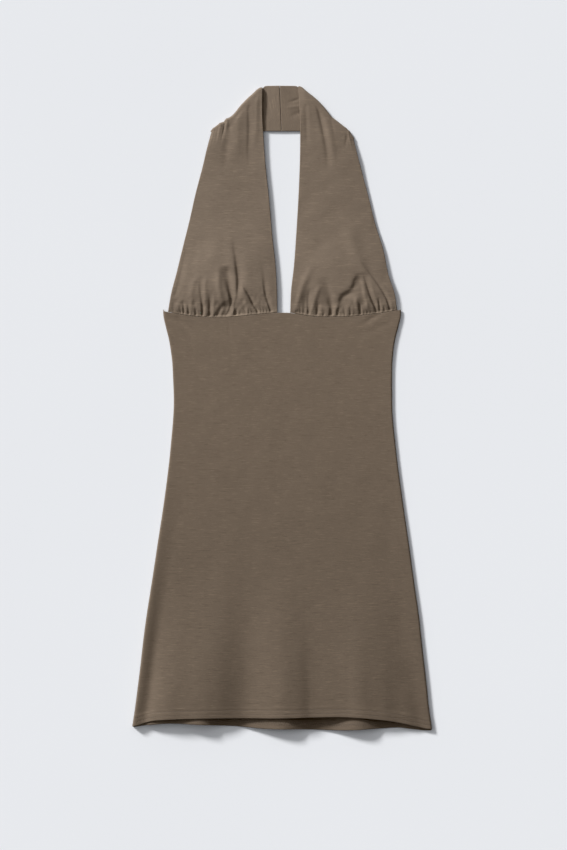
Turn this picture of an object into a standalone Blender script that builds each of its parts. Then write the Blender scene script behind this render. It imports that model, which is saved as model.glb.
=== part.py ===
"""Halter dress in jersey, laid flat on its back with the front up.

The frame is metres with +Z up. +X runs across the dress, +Y runs from the hem to the neck, and the
underside of the back panel lies on Z = 0. The tables below are in millimetres in the same frame.
"""

from collections import namedtuple
from math import cos, exp, hypot, pi, sin

import bmesh
import bpy
import numpy as np

MM = 0.001

# Driving sizes, in millimetres
BODY_CLOTH = 1.2  # single jersey of the body panels
HALTER_CLOTH = 1.8  # the halter is cut double, so its wall is two layers of the jersey
SEAM_GAP = 0.3  # clearance between neighbouring pieces at a seam
HEM_DEPTH = 15.0  # height of the turned-up hem
HEM_TURN_CLOTH = 0.8  # what the turned-up layer adds inside the hem
UNDERBUST_HALF_WIDTH = 172.5
ROLL_SHARE = 0.92  # share of the half width where the side starts to roll over
NECK_SEAM_TOP = (-3.4, 468.2)  # centre back seam of the neck band, upper end
NECK_SEAM_FOOT = (-0.8, 402.2)
FRAME_SHIFT = (-0.06, -0.60, 0.0)  # brings the middle of the whole outline to the origin

Side = namedtuple("Side", "height centre half_width roll_radius")
# Centre line and half width of the laid body and the radius of its rolled sides, hem to underbust
SIDES = [
    Side(-462, 0.0, 217.5, 3.10),
    Side(-436, 0.0, 213.6, 3.10),
    Side(-407, 0.4, 210.2, 3.05),
    Side(-373, 0.6, 206.2, 3.00),
    Side(-336, 0.6, 202.0, 2.90),
    Side(-307, 1.0, 198.6, 2.80),
    Side(-249, 1.4, 190.0, 2.70),
    Side(-191, 1.8, 181.6, 2.60),
    Side(-133, 2.0, 173.0, 2.50),
    Side(-75, 1.8, 165.4, 2.45),
    Side(-46, 1.6, 162.4, 2.40),
    Side(-17, 1.4, 159.6, 2.40),
    Side(12, 1.4, 158.4, 2.40),
    Side(41, 0.8, 158.8, 2.40),
    Side(70, 0.4, 160.0, 2.40),
    Side(99, 0.0, 163.9, 2.40),
    Side(120, 0.0, 169.0, 2.35),
    Side(134, 0.2, 172.2, 2.30),
    Side(146, 0.0, 172.6, 2.30),
]

Edge = namedtuple("Edge", "across height")
# Edges are given by the share of the half width that lies to the right of the centre
FRONT_HEM = [
    Edge(-1.00, -461.2),
    Edge(-0.91, -459.6),
    Edge(-0.815, -452.6),
    Edge(-0.70, -450.3),
    Edge(-0.54, -449.0),
    Edge(-0.15, -448.8),
    Edge(0.12, -447.9),
    Edge(0.36, -446.8),
    Edge(0.52, -448.8),
    Edge(0.71, -454.2),
    Edge(0.84, -461.2),
    Edge(0.92, -464.8),
    Edge(1.00, -464.6),
]
BACK_HEM = [
    Edge(-1.00, -461.2),
    Edge(-0.93, -462.0),
    Edge(-0.85, -459.2),
    Edge(-0.70, -456.4),
    Edge(-0.54, -457.9),
    Edge(-0.40, -459.4),
    Edge(-0.26, -461.2),
    Edge(-0.13, -464.0),
    Edge(0.10, -464.9),
    Edge(0.36, -466.6),
    Edge(0.55, -464.6),
    Edge(0.64, -463.6),
    Edge(0.72, -462.8),
    Edge(0.80, -464.6),
    Edge(0.88, -466.8),
    Edge(0.95, -466.9),
    Edge(1.00, -464.6),
]
UNDERBUST_SEAM = [
    Edge(-1.00, 143.6),
    Edge(-0.90, 140.1),
    Edge(-0.77, 135.6),
    Edge(-0.65, 132.8),
    Edge(-0.52, 132.0),
    Edge(-0.39, 132.7),
    Edge(-0.27, 134.9),
    Edge(-0.14, 137.2),
    Edge(-0.02, 138.8),
    Edge(0.07, 138.5),
    Edge(0.15, 135.8),
    Edge(0.28, 132.8),
    Edge(0.40, 132.6),
    Edge(0.53, 133.3),
    Edge(0.66, 135.6),
    Edge(0.78, 138.4),
    Edge(0.89, 142.0),
    Edge(1.00, 143.6),
]
BACK_TOP = [
    Edge(-1.00, 143.6),
    Edge(-0.80, 134.4),
    Edge(-0.50, 129.2),
    Edge(0.00, 127.4),
    Edge(0.50, 129.2),
    Edge(0.80, 134.4),
    Edge(1.00, 143.6),
]

Layer = namedtuple("Layer", "height gap")
# Clear gap between the front and the back inside the rolled sides, from hem to underbust
LAYER_GAPS = [
    Layer(-462, 2.1),
    Layer(-446, 2.1),
    Layer(-436, 1.0),
    Layer(-300, 0.9),
    Layer(-200, 0.8),
    Layer(0, 0.8),
    Layer(90, 1.0),
    Layer(124, 1.6),
    Layer(146, 2.0),
]
LAYER_RUN = 34.0  # how far in from the rolled side the front takes to settle on the back

Fold = namedtuple("Fold", "foot_x foot_y tip_x tip_y half_width rise")
# Waves that lift both panels off the floor, strongest at the hem
HEM_WAVES = [
    Fold(-170, -460, -152, -310, 46, 3.6),
    Fold(-114, -460, -106, -236, 50, 11.6),
    Fold(-2, -466, -2, -214, 57, 13.0),
    Fold(109, -466, 100, -236, 50, 12.0),
    Fold(184, -468, 170, -340, 22, 2.4),
]
BRIDGE_SHARE = 0.55  # how far the front spans the troughs of the back's waves
BRIDGE_START = 16.0  # how far in from the rolled side it starts to span them
BRIDGE_RUN = 66.0
# Soft folds of the front alone; a negative rise is a trough
FRONT_FOLDS = [
    Fold(-119, -462, -96, -120, 40, 1.2),
    Fold(6, -462, 2, -90, 44, 1.4),
    Fold(117, -462, 92, -150, 38, 1.2),
    Fold(41, -462, 34, -250, 15, -1.2),
]

Halter = namedtuple("Halter", "side along inner_x outer_x")
HALTER_INNER_Y = (138.6, 465.2)  # inner edge, from the underbust seam to the neck
HALTER_OUTER_Y = {"left": (142.6, 402.4), "right": (144.2, 392.0)}
# Inner and outer edge of each halter front, by the share of its length from seam to neck
HALTER_EDGES = [
    Halter("left", 0.00, -6.6, -165.4),
    Halter("left", 0.10, -7.3, -160.6),
    Halter("left", 0.20, -9.0, -153.6),
    Halter("left", 0.35, -14.3, -144.0),
    Halter("left", 0.50, -18.4, -134.3),
    Halter("left", 0.65, -23.6, -125.6),
    Halter("left", 0.80, -26.2, -115.8),
    Halter("left", 0.90, -26.4, -110.2),
    Halter("left", 1.00, -26.4, -104.2),
    Halter("right", 0.00, 11.8, 167.0),
    Halter("right", 0.10, 13.2, 163.0),
    Halter("right", 0.20, 17.0, 154.6),
    Halter("right", 0.35, 20.6, 146.8),
    Halter("right", 0.50, 23.6, 135.2),
    Halter("right", 0.65, 26.0, 126.2),
    Halter("right", 0.80, 27.5, 117.0),
    Halter("right", 0.90, 27.8, 111.4),
    Halter("right", 1.00, 27.8, 106.4),
]
Neck = namedtuple("Neck", "side across x y fold_radius")
# Outline of the fold at the neck, by the share of the width from the inner to the outer edge,
# and the radius of the wall's middle there
NECK_FOLD = [
    Neck("left", 0.00, -22.6, 468.0, 1.10),
    Neck("left", 0.05, -27.4, 466.8, 1.60),
    Neck("left", 0.11, -34.0, 462.8, 2.20),
    Neck("left", 0.19, -40.6, 456.8, 2.40),
    Neck("left", 0.29, -49.6, 450.0, 2.40),
    Neck("left", 0.44, -60.8, 438.8, 2.40),
    Neck("left", 0.59, -71.6, 425.8, 2.40),
    Neck("left", 0.70, -81.4, 419.2, 2.30),
    Neck("left", 0.80, -90.2, 413.2, 2.20),
    Neck("left", 0.91, -99.2, 407.6, 1.90),
    Neck("left", 1.00, -104.0, 402.0, 1.20),
    Neck("right", 0.00, 24.0, 468.0, 1.10),
    Neck("right", 0.05, 28.6, 466.4, 1.60),
    Neck("right", 0.11, 34.0, 461.8, 2.20),
    Neck("right", 0.19, 40.6, 456.4, 2.40),
    Neck("right", 0.29, 49.4, 449.4, 2.40),
    Neck("right", 0.43, 60.4, 438.0, 2.40),
    Neck("right", 0.56, 70.2, 425.8, 2.40),
    Neck("right", 0.67, 79.8, 417.2, 2.30),
    Neck("right", 0.78, 88.8, 410.2, 2.20),
    Neck("right", 0.87, 95.6, 404.6, 2.00),
    Neck("right", 0.93, 100.0, 398.8, 1.80),
    Neck("right", 1.00, 105.2, 391.6, 1.20),
]
Height = namedtuple("Height", "along inner middle outer")
# Height of the halter's middle surface over the floor, above what the seam gives at along = 0
HALTER_HEIGHTS = [
    Height(0.05, 6.8, 9.8, 5.8),
    Height(0.12, 7.0, 11.2, 5.8),
    Height(0.22, 6.0, 9.0, 4.6),
    Height(0.38, 4.4, 5.9, 3.5),
    Height(0.55, 3.8, 4.8, 2.9),
    Height(0.75, 4.3, 5.0, 3.3),
    Height(0.90, 5.4, 5.8, 4.9),
    Height(1.00, 5.7, 5.7, 5.7),
]

# Gathers of each cup: troughs from the underbust seam up to a tip
LEFT_GATHERS = [
    Fold(-144.4, 136, -142, 158, 4.0, -1.8),
    Fold(-139.0, 135, -136, 162, 4.0, -2.0),
    Fold(-133.0, 134, -129, 174, 4.4, -2.4),
    Fold(-125.6, 133, -121, 180, 4.8, -2.4),
    Fold(-115.6, 132, -114, 186, 5.0, -3.2),
    Fold(-105.4, 132, -101, 172, 5.0, -2.4),
    Fold(-94.0, 132, -88, 168, 5.6, -3.0),
    Fold(-78.0, 132, -80, 204, 7.0, -5.2),
    Fold(-67.0, 132, -66, 236, 5.6, -4.0),
    Fold(-58.6, 133, -60, 160, 4.2, -2.2),
    Fold(-51.0, 134, -54, 160, 4.0, -2.2),
    Fold(-37.6, 135, -60, 190, 4.8, -3.6),
    Fold(-27.0, 136, -32, 164, 4.0, -2.0),
    Fold(-17.8, 137, -29, 196, 4.6, -2.8),
]
RIGHT_GATHERS = [
    Fold(23.4, 136, 30, 170, 4.2, -2.2),
    Fold(32.2, 135, 42, 184, 4.8, -3.0),
    Fold(42.0, 133, 48, 168, 4.4, -2.2),
    Fold(52.0, 132, 58, 178, 4.6, -2.6),
    Fold(62.0, 132, 64, 180, 5.6, -3.4),
    Fold(72.0, 132, 72, 166, 4.6, -2.6),
    Fold(82.0, 132, 108, 194, 9.0, -5.8),
    Fold(93.0, 133, 98, 160, 4.2, -2.2),
    Fold(103.0, 134, 108, 166, 4.6, -2.6),
    Fold(113.0, 135, 114, 168, 4.6, -2.8),
    Fold(123.0, 136, 122, 172, 4.6, -2.4),
    Fold(133.6, 138, 126, 200, 4.8, -3.2),
    Fold(143.0, 139, 136, 176, 4.4, -2.2),
    Fold(154.0, 141, 124, 212, 4.8, -3.2),
]
# Long soft creases that run down from the neck
STRAP_FOLDS = [
    Fold(-46, 340, -46, 446, 9, -1.4),
    Fold(-77, 350, -74, 418, 9, -1.0),
    Fold(66, 336, 50, 440, 9, -1.8),
    Fold(36, 350, 35, 446, 7, -0.8),
]
# Short gathers where the outer edge turns over at the left of the neck
NECK_GATHERS = [
    Fold(-88, 420, -82, 392, 4.4, -1.6),
    Fold(-96, 414, -92, 388, 4.0, -1.4),
    Fold(96, 408, 92, 384, 4.4, -1.2),
]

# Mesh stations
ROLL_STEPS = 4
BODY_STEPS = 27
BODY_ROWS = [0, 0.012, 0.0243, 0.0262, 0.05, 0.08, 0.12, 0.16, 0.21, 0.27, 0.34, 0.42, 0.50, 0.58]
BODY_ROWS += [0.66, 0.74, 0.81, 0.87, 0.92, 0.96, 0.985, 1]
GATHER_COLUMNS = 56
CUP_ROWS = {
    GATHER_COLUMNS: [0, 0.012, 0.028, 0.048, 0.072, 0.10, 0.13],
    GATHER_COLUMNS // 2: [0.165, 0.205, 0.25, 0.30],
    GATHER_COLUMNS // 4: [0.38, 0.47, 0.56, 0.65, 0.74, 0.82],
}
NECK_ROWS = {
    GATHER_COLUMNS // 2: [0.88, 0.93, 0.97, 1.0, 1.25, 1.5, 1.75, 2.0],
    GATHER_COLUMNS // 4: [2.15, 2.4, 2.7, 3.0],
}

# Cloth colours as linear values; the doubled halter catches a little more light than the body
BODY_TAUPE = (0.162, 0.125, 0.091, 1.0)
HALTER_TAUPE = (0.190, 0.150, 0.113, 1.0)
CLOTH_ROUGHNESS = 0.85


def through(stations, column, at, key="height"):
    """Smooth curve through one column of a table, read at one value of its key column."""
    keys = [getattr(station, key) for station in stations]
    values = [getattr(station, column) for station in stations]
    at = min(max(at, keys[0]), keys[-1])
    last = len(keys) - 1
    i = next(k for k in range(last) if at <= keys[k + 1])
    step = keys[i + 1] - keys[i]
    rise = (values[i + 1] - values[i]) / step
    before = (values[i] - values[i - 1]) / (keys[i] - keys[i - 1]) if i else rise
    after = (values[i + 2] - values[i + 1]) / (keys[i + 2] - keys[i + 1]) if i + 1 < last else rise
    # Slopes are averaged only where the curve does not turn, so it never overshoots a station
    start = 0.5 * (before + rise) if before * rise > 0 else 0.0
    end = 0.5 * (rise + after) if rise * after > 0 else 0.0
    t = (at - keys[i]) / step
    return (
        values[i] * (1 + 2 * t) * (1 - t) ** 2
        + values[i + 1] * t * t * (3 - 2 * t)
        + step * t * (1 - t) * (start * (1 - t) - end * t)
    )


def smooth(t):
    t = min(max(t, 0.0), 1.0)
    return t * t * (3 - 2 * t)


def mix(a, b, t):
    return a + (b - a) * t


def bell(distance, half_width):
    return exp(-((1.6 * distance / half_width) ** 2))


def wave_height(x, y, folds):
    """Height of folds that grow evenly from the tip to the foot and run on past it."""
    total = 0.0
    for fold in folds:
        t = (fold.tip_y - y) / (fold.tip_y - fold.foot_y)
        centre = mix(fold.tip_x, fold.foot_x, t)
        total += fold.rise * smooth(t) * bell(x - centre, fold.half_width)
    return total


def gather_height(x, y, folds):
    """Height of folds that are full near the foot and fade out at the tip."""
    total = 0.0
    for fold in folds:
        run_x, run_y = fold.tip_x - fold.foot_x, fold.tip_y - fold.foot_y
        length = hypot(run_x, run_y)
        t = ((x - fold.foot_x) * run_x + (y - fold.foot_y) * run_y) / length**2
        aside = ((x - fold.foot_x) * run_y - (y - fold.foot_y) * run_x) / length
        total += fold.rise * (1 - smooth(t)) * bell(aside, fold.half_width)
    return total


def inset_from_roll(x, y):
    side = through(SIDES, "half_width", y) - through(SIDES, "roll_radius", y)
    return side - abs(x - through(SIDES, "centre", y))


def hem_wave(x, y):
    rise = wave_height(x, y, HEM_WAVES) * smooth(inset_from_roll(x, y) / 24)
    return rise if rise > 0.02 else 0.0


def back_height(x, y):
    """Middle surface of the body back above the floor, inside the rolled sides."""
    return BODY_CLOTH / 2 + hem_wave(x, y)


def front_height(x, y):
    """Middle surface of the body front: it settles on the back and spans the hem's troughs."""
    inset = inset_from_roll(x, y)
    settled = smooth(inset / LAYER_RUN)
    at_roll = 2 * through(SIDES, "roll_radius", y) - BODY_CLOTH
    on_back = BODY_CLOTH + through(LAYER_GAPS, "gap", y)
    wave = hem_wave(x, y)
    crest = HEM_WAVES[2]
    tallest = crest.rise * smooth((crest.tip_y - y) / (crest.tip_y - crest.foot_y))
    bridge = BRIDGE_SHARE * (tallest - wave) * smooth((inset - BRIDGE_START) / BRIDGE_RUN)
    folds = wave_height(x, y, FRONT_FOLDS) * settled
    return BODY_CLOTH / 2 + mix(at_roll, on_back, settled) + wave + bridge + folds


def body_point(across, up, hem, top, side):
    """A point of the body's middle surface; side is 1 for the front and -1 for the back."""
    y = mix(through(hem, "height", across, "across"), through(top, "height", across, "across"), up)
    half_width = through(SIDES, "half_width", y)
    radius = through(SIDES, "roll_radius", y)
    middle_radius = radius - BODY_CLOTH / 2
    seam_angle = SEAM_GAP / 2 / middle_radius
    share = min(abs(across), ROLL_SHARE) / ROLL_SHARE
    turn = max(abs(across) - ROLL_SHARE, 0) / (1 - ROLL_SHARE) * (pi / 2 - seam_angle)
    aside = share * (half_width - radius) + middle_radius * sin(turn)
    x = through(SIDES, "centre", y) + (aside if across > 0 else -aside)
    flat = front_height(x, y) if side > 0 else back_height(x, y)
    if turn == 0:
        return (x, y, flat)
    return (x, y, radius + side * middle_radius * cos(turn))


def front_point(across, up):
    return body_point(across, up, FRONT_HEM, UNDERBUST_SEAM, 1)


def back_point(across, up):
    return body_point(across, up, BACK_HEM, BACK_TOP, -1)


def across_stations():
    """Stations from left to right: the rolled side, the flat part, the rolled side."""
    roll = [1 - (1 - ROLL_SHARE) * k / ROLL_STEPS for k in range(ROLL_STEPS)]
    flat = [ROLL_SHARE * (2 * k / BODY_STEPS - 1) for k in range(BODY_STEPS + 1)]
    return [-r for r in roll] + flat + roll[::-1]


# The vertices of the body front's top edge; the cups follow the same straight runs
TOP_EDGE = np.array([front_point(across, 1) for across in across_stations()])


def halter_edge(side, column, along):
    rows = [row for row in HALTER_EDGES if row.side == side]
    return through(rows, column, along, "along")


def neck_fold(side, across):
    """Centre line of the neck fold in plan, the direction out across it and its radius."""
    rows = [row for row in NECK_FOLD if row.side == side]
    ends = [min(max(across + d, 0), 1) for d in (-0.04, 0.04)]
    run_x, run_y = (
        through(rows, column, ends[1], "across") - through(rows, column, ends[0], "across")
        for column in ("x", "y")
    )
    length = hypot(run_x, run_y)
    turn = 1 if side == "left" else -1
    out_x, out_y = turn * run_y / length, -turn * run_x / length
    radius = through(rows, "fold_radius", across, "across")
    reach = radius + HALTER_CLOTH / 2
    x = through(rows, "x", across, "across") - out_x * reach
    y = through(rows, "y", across, "across") - out_y * reach
    return x, y, out_x, out_y, radius


def seam_line(side, across):
    """Lower edge of a cup, parallel to the body front's top edge and one seam gap above it."""
    x = mix(halter_edge(side, "inner_x", 0), halter_edge(side, "outer_x", 0), across)
    y, z = (np.interp(x, TOP_EDGE[:, 0], TOP_EDGE[:, k]) for k in (1, 2))
    return x, y + SEAM_GAP, z


def halter_height(side, across, along):
    """Height of the halter front without its gathers."""
    seam = Height(0.0, *[seam_line(side, across)[2]] * 3)
    rows = [seam] + HALTER_HEIGHTS
    inner, middle, outer = (through(rows, c, along, "along") for c in ("inner", "middle", "outer"))
    crown = 1 - (2 * across - 1) ** 2
    return mix(mix(inner, outer, across), middle, crown)


def halter_front(side, across, along):
    """Coons patch between the seam, the neck fold and the two edges, with its folds on it."""
    inner_y, outer_y = HALTER_INNER_Y, HALTER_OUTER_Y[side]
    neck_x, neck_y, _, _, radius = neck_fold(side, across)
    seam_x, seam_y, _ = seam_line(side, across)
    inner = (halter_edge(side, "inner_x", along), mix(*inner_y, along))
    outer = (halter_edge(side, "outer_x", along), mix(*outer_y, along))
    sides = [mix(inner[k], outer[k], across) for k in (0, 1)]
    seam_ends = [seam_line(side, end) for end in (0, 1)]
    neck_ends = [neck_fold(side, end) for end in (0, 1)]
    corner_inner = (halter_edge(side, "inner_x", 0), inner_y[0])
    corner_outer = (halter_edge(side, "outer_x", 0), outer_y[0])
    top_inner = (halter_edge(side, "inner_x", 1), inner_y[1])
    top_outer = (halter_edge(side, "outer_x", 1), outer_y[1])
    # The edges bend a little to meet the ends of the seam and of the neck fold
    low, high = (1 - along) ** 6, along**6
    at_seam = (seam_x, seam_y)
    at_neck = (neck_x, neck_y)
    point = []
    for k in (0, 1):
        foot_line = mix(corner_inner[k], corner_outer[k], across)
        neck_line = mix(top_inner[k], top_outer[k], across)
        foot_ends = mix(seam_ends[0][k], seam_ends[1][k], across)
        top_ends = mix(neck_ends[0][k], neck_ends[1][k], across)
        value = sides[k]
        value += (foot_ends - foot_line) * low + (top_ends - neck_line) * high
        value += (at_seam[k] - foot_ends) * (1 - along) + (at_neck[k] - top_ends) * along
        point.append(value)
    x, y = point
    z = halter_height(side, across, along)
    at_fold = 2 * radius + HALTER_CLOTH / 2
    z += (at_fold - HALTER_HEIGHTS[-1].middle) * smooth((along - 0.86) / 0.14)
    gathers = LEFT_GATHERS if side == "left" else RIGHT_GATHERS
    edge = smooth(min(across, 1 - across) / 0.05)
    z += gather_height(x, y, gathers) * (0.2 + 0.8 * smooth(along / 0.035)) * edge
    folds = wave_height(x, y, STRAP_FOLDS_DOWN) + gather_height(x, y, NECK_GATHERS)
    return x, y, z + folds * (1 - smooth((along - 0.93) / 0.07))


# The strap creases grow upwards, so foot and tip change places before they are read
STRAP_FOLDS_DOWN = [
    Fold(f.tip_x, f.tip_y, f.foot_x, f.foot_y, f.half_width, f.rise) for f in STRAP_FOLDS
]


def halter_point(side, across, along):
    """Middle surface of a halter: front for 0 to 1, over the neck fold to 2, neck band to 3."""
    if along <= 1:
        return halter_front(side, across, along)
    x, y, out_x, out_y, radius = neck_fold(side, across)
    axis_z = radius + HALTER_CLOTH / 2
    if along <= 2:
        turn = (along - 1) * pi
        reach = radius * sin(turn)
        return x + out_x * reach, y + out_y * reach, axis_z + radius * cos(turn)
    gap = SEAM_GAP / 2 if side == "right" else -SEAM_GAP / 2
    end_x = mix(NECK_SEAM_TOP[0], NECK_SEAM_FOOT[0], across) + gap
    end_y = mix(NECK_SEAM_TOP[1], NECK_SEAM_FOOT[1], across)
    share = along - 2
    # The band runs level between the straps, so most of its slope lies under them
    level = 1 - (1 - share) ** 3
    return mix(x, end_x, share), mix(y, end_y, level), HALTER_CLOTH / 2


def normal_at(surface, across, along, limits, step=0.002):
    """Unit normal of a surface, from points a short step to each side."""
    low, high = limits
    a0, a1 = max(across - step, low), min(across + step, 1)
    b0, b1 = max(along - step, 0), min(along + step, high)
    run_across = np.subtract(surface(a1, along), surface(a0, along))
    run_along = np.subtract(surface(across, b1), surface(across, b0))
    normal = np.cross(run_across, run_along)
    return normal / np.linalg.norm(normal)


def strip_faces(lower, upper):
    """Faces between two rows of vertices with equal counts, or one with twice the cells."""
    if len(lower) == len(upper):
        return [
            (lower[i], lower[i + 1], upper[i + 1], upper[i]) for i in range(len(lower) - 1)
        ]
    if len(lower) < len(upper):
        return [face[::-1] for face in strip_faces(upper, lower)]
    faces = []
    for i in range(len(upper) - 1):
        left, middle, right = lower[2 * i : 2 * i + 3]
        faces.append((left, middle, upper[i]))
        faces.append((middle, upper[i + 1], upper[i]))
        faces.append((middle, right, upper[i + 1]))
    return faces


def cloth_wall(name, colour, rows, surface, limits, outward, outer, inner, seam_along):
    """Closed wall of cloth: rows of (across, along) stations, moved out to both faces.

    outward turns the surface's normal to the outside of the garment; outer and inner give the
    distance in millimetres from the middle surface to each face. The edge at seam_along is cut
    upright, so that the piece on the other side of that seam can lie close to it.
    """
    mesh = bmesh.new()
    sheets = {1: [], -1: []}
    for row in rows:
        points = [np.array(surface(*station)) for station in row]
        normals = [outward * normal_at(surface, *station, limits) for station in row]
        if row[0][1] == seam_along:
            normals = [normal * (1, 0, 1) for normal in normals]
            normals = [normal / np.linalg.norm(normal) for normal in normals]
        for face_side, thickness in ((1, outer), (-1, inner)):
            line = []
            for station, point, normal in zip(row, points, normals):
                moved = point + face_side * thickness(*station) * normal + FRAME_SHIFT
                line.append(mesh.verts.new(moved * MM))
            sheets[face_side].append(line)
    for lines in sheets.values():
        for lower, upper in zip(lines, lines[1:]):
            for face in strip_faces(lower, upper):
                mesh.faces.new(face)
    rims = [(sheets[1][k], sheets[-1][k]) for k in (0, -1)]
    rims += [([line[k] for line in sheets[1]], [line[k] for line in sheets[-1]]) for k in (0, -1)]
    for top, bottom in rims:
        for i in range(len(top) - 1):
            mesh.faces.new((top[i], top[i + 1], bottom[i + 1], bottom[i]))
    bmesh.ops.recalc_face_normals(mesh, faces=mesh.faces)
    data = bpy.data.meshes.new(name)
    mesh.to_mesh(data)
    mesh.free()
    data.shade_smooth()
    data.set_sharp_from_angle(angle=pi / 4)
    piece = bpy.data.objects.new(name, data)
    bpy.context.scene.collection.objects.link(piece)
    piece.data.materials.append(jersey(name, colour))
    return piece


def jersey(name, colour):
    """Matt taupe jersey for one piece."""
    material = bpy.data.materials.new(name + "_jersey")
    material.use_nodes = True
    shader = material.node_tree.nodes["Principled BSDF"]
    shader.inputs["Base Color"].default_value = colour
    shader.inputs["Roughness"].default_value = CLOTH_ROUGHNESS
    shader.inputs["Metallic"].default_value = 0.0
    return material


def body_panel(name, surface, outward):
    """One body panel; the turned-up hem thickens its inner face over the hem's depth."""
    length = UNDERBUST_SEAM[0].height - FRONT_HEM[0].height
    turned = 0.5 * (BODY_ROWS[2] + BODY_ROWS[3])
    assert abs(turned * length - HEM_DEPTH) < 1
    stations = across_stations()

    def inner(across, up):
        turn = HEM_TURN_CLOTH if up < turned and abs(across) < 1 else 0
        return BODY_CLOTH / 2 + turn

    return cloth_wall(
        name,
        BODY_TAUPE,
        [[(a, up) for a in stations] for up in BODY_ROWS],
        surface,
        (-1, 1),
        outward,
        lambda across, up: BODY_CLOTH / 2,
        inner,
        1,
    )


def halter(name, side):
    """A halter half: gathered cup, strap, fold over at the neck and half of the neck band."""
    rows = []
    for table in (CUP_ROWS, NECK_ROWS):
        for columns, stations in table.items():
            rows += [[(k / columns, along) for k in range(columns + 1)] for along in stations]
    return cloth_wall(
        name,
        HALTER_TAUPE,
        rows,
        lambda across, along: halter_point(side, across, along),
        (0, 3),
        -1 if side == "left" else 1,
        lambda across, along: HALTER_CLOTH / 2,
        lambda across, along: HALTER_CLOTH / 2,
        0,
    )


def main():
    for old in list(bpy.data.objects):
        bpy.data.objects.remove(old)
    body_panel("body_front", front_point, 1)
    body_panel("body_back", back_point, -1)
    halter("halter_left", "left")
    halter("halter_right", "right")


main()
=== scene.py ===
from math import pi

import bpy
import numpy as np
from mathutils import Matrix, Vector


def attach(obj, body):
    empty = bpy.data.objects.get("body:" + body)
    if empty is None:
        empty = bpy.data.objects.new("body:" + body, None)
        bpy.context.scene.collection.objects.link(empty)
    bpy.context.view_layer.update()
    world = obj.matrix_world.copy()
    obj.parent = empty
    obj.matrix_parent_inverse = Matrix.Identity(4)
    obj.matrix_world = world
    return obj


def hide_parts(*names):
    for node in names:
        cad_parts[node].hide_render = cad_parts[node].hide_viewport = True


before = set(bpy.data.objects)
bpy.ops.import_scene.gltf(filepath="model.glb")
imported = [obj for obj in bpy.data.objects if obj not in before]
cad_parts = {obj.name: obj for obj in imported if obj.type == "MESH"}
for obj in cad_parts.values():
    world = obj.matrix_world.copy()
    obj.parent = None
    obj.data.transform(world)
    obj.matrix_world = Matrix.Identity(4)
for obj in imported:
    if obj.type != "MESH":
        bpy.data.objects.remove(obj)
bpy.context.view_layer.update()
print("packed dress loaded, pieces:", ", ".join(sorted(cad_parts)))

# All sizes below are in millimetres: +X across the dress, +Y from hem to neck, +Z off the floor
mm = 0.001
middleShift = np.array([-0.06, -0.6, 0.0])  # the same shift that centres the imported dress
seed = np.random.default_rng(41)


# small helpers for curves and folds


def curve(table, column, at):
    # smooth curve through one column of a table, read along its first column
    keys = np.array(table[next(iter(table))], float)
    values = np.array(table[column], float)
    at = np.clip(at, keys[0], keys[-1])
    rises = np.diff(values) / np.diff(keys)
    slopes = np.zeros(len(keys))
    slopes[0], slopes[-1] = rises[0], rises[-1]
    slopes[1:-1] = np.where(rises[:-1] * rises[1:] > 0, (rises[:-1] + rises[1:]) / 2, 0)
    i = np.clip(np.searchsorted(keys, at) - 1, 0, len(keys) - 2)
    step = keys[i + 1] - keys[i]
    t = (at - keys[i]) / step
    ends = values[i] * (1 + 2 * t) * (1 - t) ** 2 + values[i + 1] * t * t * (3 - 2 * t)
    return ends + step * t * (1 - t) * (slopes[i] * (1 - t) - slopes[i + 1] * t)


def smooth(t):
    t = np.clip(t, 0, 1)
    return t * t * (3 - 2 * t)


def mix(a, b, t):
    return a + (b - a) * t


def bell(distance, halfWidth):
    return np.exp(-((1.6 * distance / halfWidth) ** 2))


def waveHeight(x, y, waves):
    # waves grow evenly from the tip to the foot and run on past it
    total = np.zeros(np.shape(x))
    for footX, footY, tipX, tipY, left, right, rise in waves:
        t = (tipY - y) / (tipY - footY)
        aside = x - mix(tipX, footX, t)
        total += rise * smooth(t) * bell(aside, np.where(aside < 0, left, right))
    return total


def creaseHeight(x, y, creases):
    # a crease is its lean and its rows from low to high: place along, place across, depth (a
    # ridge is below 0) and half width; a lean over 0 makes the left wall of a trough steep
    total = np.zeros(np.shape(x))
    for lean, *rows in creases:
        line = dict(zip(("along", "across", "depth", "width"), zip(*rows)))
        line["lean"] = lean if isinstance(lean, tuple) else (lean,) * len(rows)
        inReach = (y > line["along"][0] - 60) & (y < line["along"][-1])
        if not inReach.any():
            continue
        px, py = x[inReach], y[inReach]
        step = 0.5
        slope = (curve(line, "across", py + step) - curve(line, "across", py - step)) / (2 * step)
        aside = (px - curve(line, "across", py)) / np.sqrt(1 + slope**2)
        lean = curve(line, "lean", py) * np.sign(aside)
        width = curve(line, "width", py) * (1 + lean)
        total[inReach] -= curve(line, "depth", py) * bell(aside, width)
    return total


def unevenCloth(x, y, size, height, rows=16):
    # long soft unevenness of cloth that has been handled, from a few seeded waves
    total = np.zeros(np.shape(x))
    for turn, phase, stretch in seed.uniform((0, 0, 0.6), (pi, 2 * pi, 1.6), (rows, 3)):
        ahead = np.cos(turn) * x + np.sin(turn) * y
        total += np.sin(2 * pi * ahead / (size * stretch) + phase)
    return height * total / np.sqrt(rows)


def gridNormal(grid):
    run = [np.gradient(grid, axis=k) for k in (0, 1)]
    normal = np.cross(run[1], run[0])
    return normal / np.maximum(np.linalg.norm(normal, axis=2, keepdims=True), 1e-9)


def edgeDistance(grid):
    # how far each point lies from the nearest edge of the cloth
    nearest = []
    for axis in (0, 1):
        steps = np.linalg.norm(np.diff(grid, axis=axis), axis=2)
        run = np.insert(np.cumsum(steps, axis=axis), 0, 0, axis=axis)
        nearest.append(np.minimum(run, run.take([-1], axis=axis) - run))
    return np.minimum(*nearest)


def spread(low, high, count):
    return list(np.linspace(low, high, count, endpoint=False))


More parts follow.
